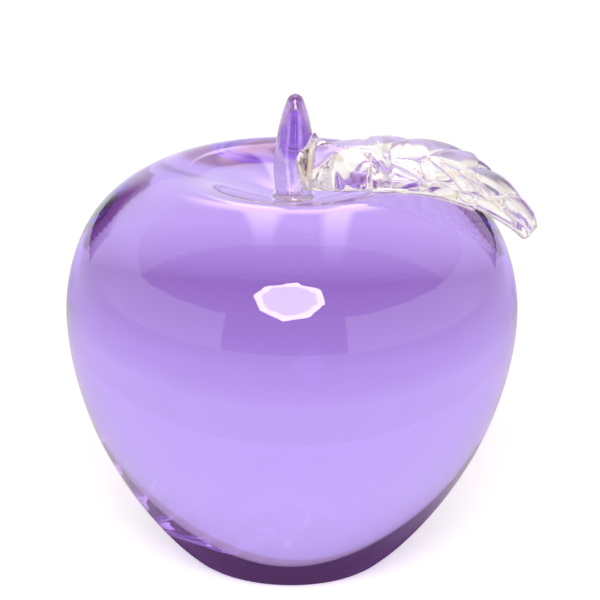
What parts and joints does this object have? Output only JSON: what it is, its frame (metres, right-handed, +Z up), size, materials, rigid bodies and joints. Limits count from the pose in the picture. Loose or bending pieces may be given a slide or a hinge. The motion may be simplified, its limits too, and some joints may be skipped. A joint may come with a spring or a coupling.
{
  "type": "glass apple paperweight",
  "caption": "Solid tinted crystal apple on a small flat foot, with a clear glass stem standing in its top hollow and a clear ribbed glass leaf bonded to the stem.",
  "frame": {"origin": "centre of the flat foot, on the axis of the body", "axes": "+Z up along the body's axis to the stem's tip; +X to the side that the leaf hangs over; -Y is the front"},
  "size_m": [0.083, 0.08, 0.0858],
  "materials": {
    "tinted_crystal": "polished, purple through and through",
    "clear_glass": "fire polished, colourless",
    "clear_adhesive": "cured clear, with small trapped bubbles"
  },
  "bodies": {
    "root": {"apple_body": "tinted_crystal", "stem": "clear_glass", "leaf": "clear_glass", "stem_adhesive": "clear_adhesive", "leaf_adhesive": "clear_adhesive"}
  },
  "joints": []
}
